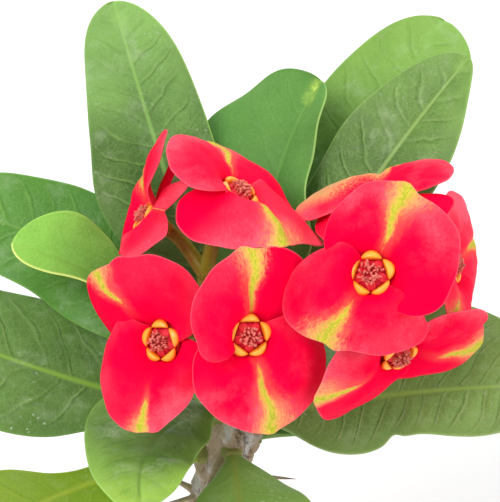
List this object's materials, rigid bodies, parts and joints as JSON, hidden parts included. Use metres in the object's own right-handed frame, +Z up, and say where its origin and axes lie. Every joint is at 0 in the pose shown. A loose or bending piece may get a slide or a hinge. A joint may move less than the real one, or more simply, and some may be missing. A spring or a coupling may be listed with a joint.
{
  "type": "potted crown of thorns plant",
  "caption": "Succulent spiny plant in a round clay pot, with broad leaves round a head of paired rounded red bracts; stands on a table, shelf or windowsill.",
  "frame": {"origin": "centre of the pot's flat foot, on the surface the pot stands on", "axes": "+Z up along the pot and the stem, +X to the plant's right seen from its front, -Y towards the front, where most of the blooms face"},
  "size_m": [0.1826, 0.1591, 0.3094],
  "materials": {
    "clay": "matte",
    "soil": "matte",
    "bark": "matte",
    "leaf": "satin",
    "young_leaf": "satin",
    "bract": "satin",
    "gland": "satin",
    "tuft": "satin",
    "stalk": "satin"
  },
  "bodies": {
    "root": {"pot": "clay", "soil": "soil", "stem": "bark", "leaf_01": "leaf", "leaf_02": "young_leaf", "leaf_03": "leaf", "leaf_04": "leaf", "leaf_05": "leaf", "leaf_06": "leaf", "leaf_07": "leaf", "leaf_08": "leaf", "leaf_09": "leaf", "leaf_10": "leaf", "leaf_11": "leaf", "leaf_12": "leaf", "leaf_13": "leaf", "leaf_14": "leaf", "flower_stalk_left": "stalk", "flower_stalk_right": "stalk", "bloom_1_bracts": "bract", "bloom_1_glands": "gland", "bloom_1_tuft": "tuft", "bloom_2_bracts": "bract", "bloom_2_glands": "gland", "bloom_2_tuft": "tuft", "bloom_3_bracts": "bract", "bloom_3_glands": "gland", "bloom_3_tuft": "tuft", "bloom_4_bracts": "bract", "bloom_4_glands": "gland", "bloom_4_tuft": "tuft", "bloom_5_bracts": "bract", "bloom_5_glands": "gland", "bloom_5_tuft": "tuft", "bloom_6_bracts": "bract", "bloom_6_glands": "gland", "bloom_6_tuft": "tuft", "bloom_7_bracts": "bract", "bloom_7_glands": "gland", "bloom_7_tuft": "tuft", "bloom_8_bracts": "bract", "bloom_8_glands": "gland", "bloom_8_tuft": "tuft"}
  },
  "joints": []
}
